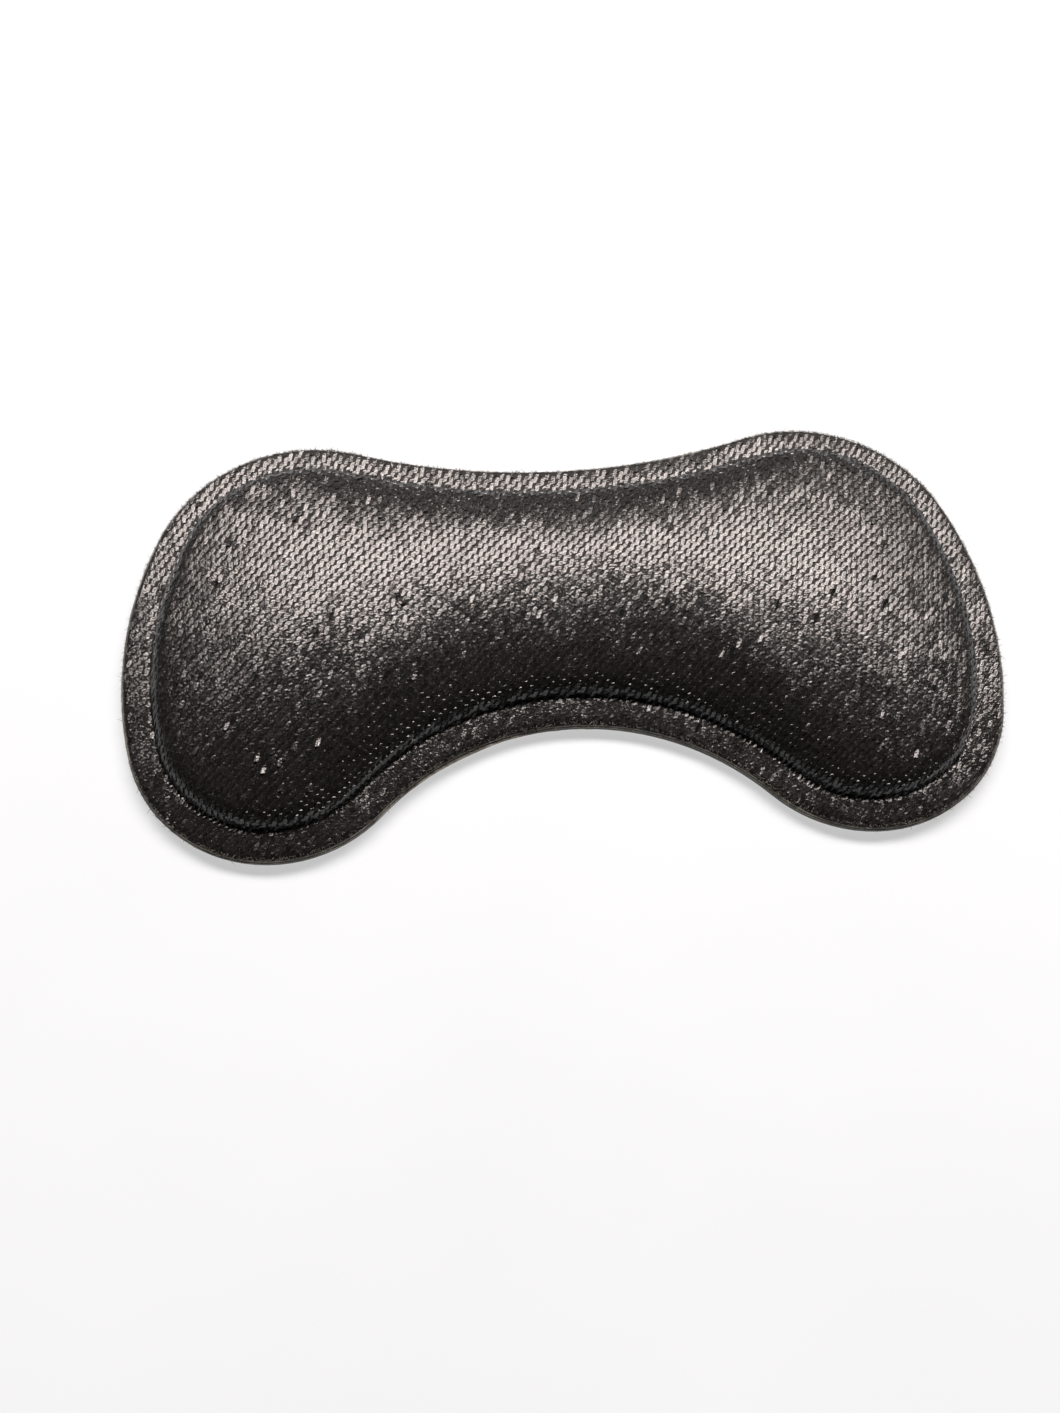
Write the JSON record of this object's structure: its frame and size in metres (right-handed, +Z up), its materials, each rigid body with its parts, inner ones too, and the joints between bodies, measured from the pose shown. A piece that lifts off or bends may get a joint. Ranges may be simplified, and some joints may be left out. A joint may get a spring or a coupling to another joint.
{
  "type": "heel grip pad",
  "caption": "Padded two-lobed stick-on heel grip: knit-covered foam dome in a hot-pressed rim, with an adhesive back and a split peel-off liner.",
  "frame": {"origin": "middle of the bottom face: the centre of the bounding box's base, under the liner's slit", "axes": "+X from lobe to lobe (long symmetric axis), +Y towards the long edge with the shallow dip, +Z up through the thickness from the adhesive back to the knit face"},
  "size_m": [0.098, 0.05, 0.0067],
  "materials": {
    "liner_paper": "silicone-coated release paper, smooth, faint sheen",
    "tape_adhesive": "clear yellowish acrylic adhesive, tacky gloss",
    "tape_film": "thin clear film, glossy edge",
    "base_sheet": "smooth black-olive sheet, slight gloss on its cut edge",
    "melt_web": "fused hot-melt web, semi-matte",
    "foam": "charcoal open-cell foam, matte, pressed dense at the rim",
    "knit_fabric": "dark charcoal weft-knit polyester with bright filament loops and a soft sheen"
  },
  "bodies": {
    "pad": {"tape_outer_adhesive": "tape_adhesive", "tape_carrier": "tape_film", "tape_inner_adhesive": "tape_adhesive", "base_sheet": "base_sheet", "base_web": "melt_web", "foam_core": "foam", "fabric_web": "melt_web", "face_fabric": "knit_fabric"},
    "liner_left": {"liner_left": "liner_paper"},
    "liner_right": {"liner_right": "liner_paper"}
  },
  "joints": [
    {"name": "liner_left_peel", "type": "hinge", "parent": "pad", "child": "liner_left", "pos_m": [-0.0488, -0.0028, 0.00012], "axis": [0, 1, 0], "range_deg": [0, 180]},
    {"name": "liner_right_peel", "type": "hinge", "parent": "pad", "child": "liner_right", "pos_m": [0.0488, -0.0028, 0.00012], "axis": [0, -1, 0], "range_deg": [0, 180]}
  ]
}
